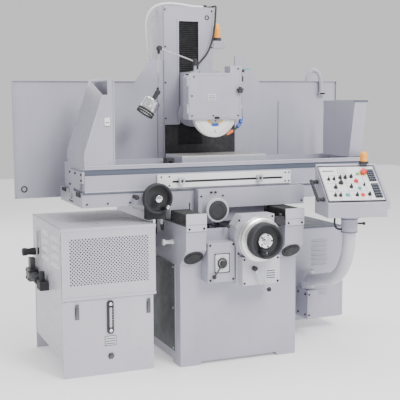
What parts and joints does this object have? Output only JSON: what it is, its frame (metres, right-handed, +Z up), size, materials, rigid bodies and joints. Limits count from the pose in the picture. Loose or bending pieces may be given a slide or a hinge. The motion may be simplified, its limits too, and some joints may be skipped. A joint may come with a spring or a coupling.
{
  "type": "surface grinder",
  "caption": "Hydraulic surface grinder: heavy base, saddle and long table under a column-mounted wheel head, with a separate tank, an electrical cabinet and a console arm.",
  "frame": {"origin": "on the floor at the centre of the base's four anchor holes", "axes": "+X along the table to the operator's right, -Y towards the operator, +Z up"},
  "size_m": [2.058, 1.4787, 1.9832],
  "materials": {
    "machine_paint": "light grey semi-gloss enamel",
    "side_cover_paint": "dark grey-green enamel",
    "white_paint": "white enamel",
    "ground_steel": "ground and oiled",
    "dial_silver": "satin anodised",
    "chrome": "polished chrome plate",
    "cast_iron": "scraped cast iron",
    "rubber": "matte black rubber",
    "black_plastic": "moulded black plastic",
    "conduit": "ribbed flexible conduit",
    "red_plastic": "moulded red plastic",
    "green_plastic": "moulded green plastic",
    "nozzle_plastic": "orange segmented hose",
    "amber_lens": "translucent orange lens",
    "abrasive": "white vitrified abrasive"
  },
  "bodies": {
    "base": {"base_casting": "machine_paint", "base_covers": "side_cover_paint", "lifting_plugs": "rubber", "way_bellows": "rubber", "column_casting": "machine_paint", "column_cover": "machine_paint", "column_bellows": "rubber", "column_beacon": "amber_lens", "speed_valve_box": "machine_paint", "crossfeed_gearbox": "machine_paint", "limit_switch": "black_plastic", "electrical_cabinet": "machine_paint", "arm_bracket": "machine_paint", "tank_body": "machine_paint", "tank_cover": "machine_paint", "tank_fittings": "ground_steel", "pump_motor": "machine_paint", "conduits": "conduit", "head_cable": "rubber"},
    "lift_screw": {"elevating_screw": "ground_steel"},
    "speed_control": {"speed_lever": "chrome"},
    "feed_control": {"feed_lever": "chrome"},
    "crossfeed": {"crossfeed_screw": "ground_steel", "crossfeed_dial": "dial_silver", "crossfeed_handwheel": "black_plastic"},
    "crossfeed_knob": {"crossfeed_grip": "black_plastic"},
    "door": {"cabinet_door": "machine_paint"},
    "arm": {"support_arm": "machine_paint"},
    "console": {"console_box": "machine_paint", "console_fittings": "black_plastic"},
    "stop_button": {"estop_button": "red_plastic"},
    "start_push": {"start_button": "green_plastic"},
    "selector": {"mode_selector": "black_plastic"},
    "saddle": {"saddle_casting": "machine_paint", "hydraulic_cylinder": "ground_steel", "saddle_valves": "black_plastic", "saddle_hoses": "rubber", "rear_splash_guard": "machine_paint", "splash_curtain": "rubber"},
    "reverser": {"reversing_lever": "black_plastic"},
    "table_wheel": {"table_handwheel": "black_plastic"},
    "table": {"table_casting": "machine_paint", "piston_rod": "chrome", "rod_brackets": "machine_paint", "dog_rail": "white_paint", "magnetic_chuck": "ground_steel", "table_guards": "machine_paint"},
    "left_dog": {"left_trip_dog": "ground_steel"},
    "right_dog": {"right_trip_dog": "ground_steel"},
    "head": {"head_slide": "cast_iron", "spindle_housing": "machine_paint", "wheel_guard": "machine_paint", "coolant_nozzle": "nozzle_plastic"},
    "spindle": {"spindle_shaft": "ground_steel", "grinding_wheel": "abrasive"},
    "guard_cover": {"guard_door": "machine_paint"},
    "guard_knob": {"guard_door_knob": "black_plastic"},
    "lamp_boom": {"lamp_arm": "black_plastic"},
    "lamp_drop": {"lamp_rod": "chrome"},
    "lamp": {"lamp_head": "chrome"}
  },
  "joints": [
    {"name": "saddle_slide", "type": "slide", "parent": "base", "child": "saddle", "axis": [0, 1, 0], "range_m": [-0.135, 0.135], "deforming": ["way_bellows"]},
    {"name": "table_slide", "type": "slide", "parent": "saddle", "child": "table", "axis": [1, 0, 0], "range_m": [-0.32, 0.205]},
    {"name": "head_slide", "type": "slide", "parent": "base", "child": "head", "axis": [0, 0, 1], "range_m": [-0.094, 0.19], "deforming": ["column_bellows", "head_cable"]},
    {"name": "lift_screw_turn", "type": "hinge", "parent": "base", "child": "lift_screw", "pos_m": [0, 0.335, 1.3], "axis": [0, 0, 1], "continuous": true},
    {"name": "spindle_turn", "type": "hinge", "parent": "head", "child": "spindle", "pos_m": [0, -0.209, 1.318], "axis": [0, 1, 0], "continuous": true},
    {"name": "crossfeed_turn", "type": "hinge", "parent": "base", "child": "crossfeed", "pos_m": [0.045, -0.77, 0.681], "axis": [0, 1, 0], "continuous": true},
    {"name": "crossfeed_grip_turn", "type": "hinge", "parent": "crossfeed", "child": "crossfeed_knob", "pos_m": [0.021, -0.8, 0.63], "axis": [0, 1, 0], "continuous": true},
    {"name": "table_wheel_turn", "type": "hinge", "parent": "saddle", "child": "table_wheel", "pos_m": [-0.433, -0.47, 0.891], "axis": [0, 1, 0], "continuous": true},
    {"name": "reversing_lever_swing", "type": "hinge", "parent": "saddle", "child": "reverser", "pos_m": [-0.103, -0.47, 0.815], "axis": [0, 1, 0], "range_deg": [0, 35]},
    {"name": "speed_lever_turn", "type": "hinge", "parent": "base", "child": "speed_control", "pos_m": [-0.142, -0.65, 0.558], "axis": [0, 1, 0], "range_deg": [-35, 125]},
    {"name": "feed_lever_turn", "type": "hinge", "parent": "base", "child": "feed_control", "pos_m": [0.017, -0.7, 0.527], "axis": [0, 1, 0], "range_deg": [-30, 45]},
    {"name": "cabinet_door_swing", "type": "hinge", "parent": "base", "child": "door", "pos_m": [0.86, 0.277, 0.36], "axis": [0, 0, 1], "range_deg": [0, 110]},
    {"name": "arm_swing", "type": "hinge", "parent": "base", "child": "arm", "pos_m": [0.581, -0.262, 0.34], "axis": [0, 0, 1], "range_deg": [0, 15]},
    {"name": "console_swivel", "type": "hinge", "parent": "arm", "child": "console", "pos_m": [0.547, -0.76, 0.73], "axis": [0, 0, 1], "range_deg": [-25, 40]},
    {"name": "stop_push", "type": "slide", "parent": "console", "child": "stop_button", "axis": [0.1402, 0.6073, -0.782], "range_m": [0, 0.006], "stiffness_N_per_m": 800},
    {"name": "start_push_travel", "type": "slide", "parent": "console", "child": "start_push", "axis": [0.1402, 0.6073, -0.782], "range_m": [0, 0.004], "stiffness_N_per_m": 600},
    {"name": "selector_turn", "type": "hinge", "parent": "console", "child": "selector", "pos_m": [0.48741, -0.76471, 0.9559], "axis": [-0.1402, -0.6073, 0.782], "range_deg": [-60, 60]},
    {"name": "left_dog_slide", "type": "slide", "parent": "table", "child": "left_dog", "axis": [1, 0, 0], "range_m": [-0.03, 0.25]},
    {"name": "right_dog_slide", "type": "slide", "parent": "table", "child": "right_dog", "axis": [1, 0, 0], "range_m": [-0.15, 0.12]},
    {"name": "guard_door_swing", "type": "hinge", "parent": "head", "child": "guard_cover", "pos_m": [-0.173, -0.244, 1.4], "axis": [0, 0, 1], "range_deg": [-100, 0]},
    {"name": "guard_knob_turn", "type": "hinge", "parent": "guard_cover", "child": "guard_knob", "pos_m": [0.138, -0.26, 1.452], "axis": [0, 1, 0], "continuous": true},
    {"name": "lamp_boom_swing", "type": "hinge", "parent": "head", "child": "lamp_boom", "pos_m": [-0.076, -0.12, 1.6], "axis": [0, 0, 1], "range_deg": [-5, 25]},
    {"name": "lamp_elbow_turn", "type": "hinge", "parent": "lamp_boom", "child": "lamp_drop", "pos_m": [-0.287, -0.108, 1.683], "axis": [0, -1, 0], "range_deg": [-30, 5]},
    {"name": "lamp_tilt", "type": "hinge", "parent": "lamp_drop", "child": "lamp", "pos_m": [-0.296, -0.108, 1.44], "axis": [0, -1, 0], "range_deg": [-40, 20]}
  ],
  "couplings": [
    {"joint": "crossfeed_turn", "follows": "saddle_slide", "rad_per_m": 1256.6},
    {"joint": "table_wheel_turn", "follows": "table_slide", "rad_per_m": 104.72},
    {"joint": "lift_screw_turn", "follows": "head_slide", "rad_per_m": 1256.6}
  ]
}
